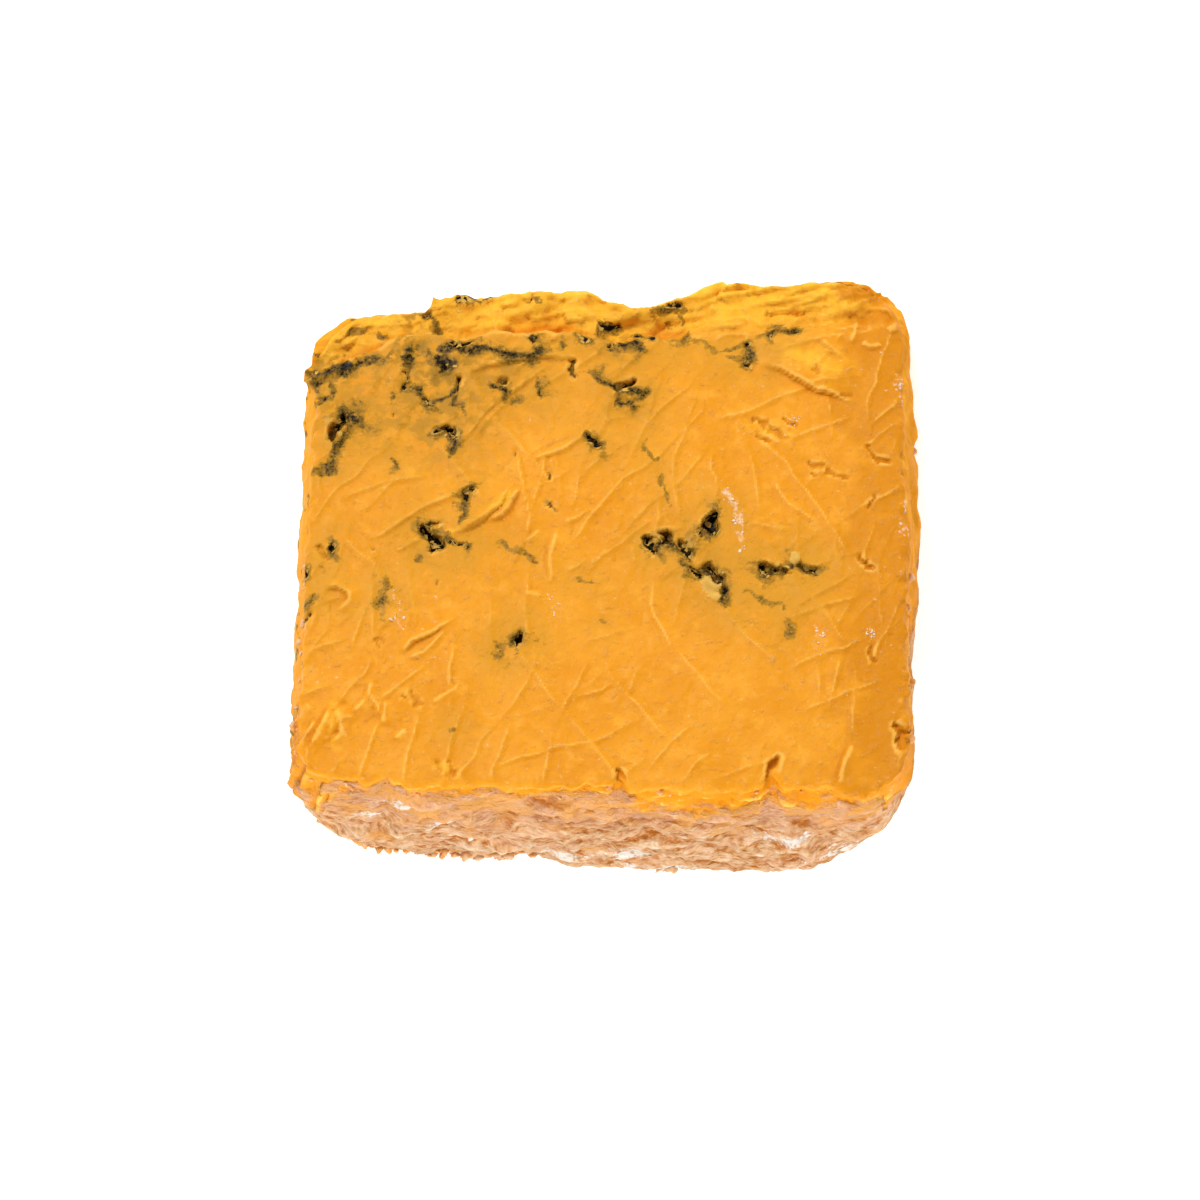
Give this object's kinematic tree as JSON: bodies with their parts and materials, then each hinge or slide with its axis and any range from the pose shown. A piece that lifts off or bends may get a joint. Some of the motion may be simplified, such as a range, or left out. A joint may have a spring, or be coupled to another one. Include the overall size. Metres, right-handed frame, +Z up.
{
  "type": "blue cheese wedge",
  "caption": "Wedge of blue-veined orange cheese lying on a cut face, with a crumbly rind at the front and one end, and a broken thin edge at the back.",
  "frame": {"origin": "on the cut face that the wedge lies on, under the middle of its box", "axes": "+Z up; -Y towards the rind on the round wall; +X towards the rind on the flat end, along the whole cheese's axis"},
  "size_m": [0.1054, 0.1004, 0.0367],
  "materials": {
    "cheese": "waxy"
  },
  "bodies": {
    "root": {"cheese": "cheese"}
  },
  "joints": []
}
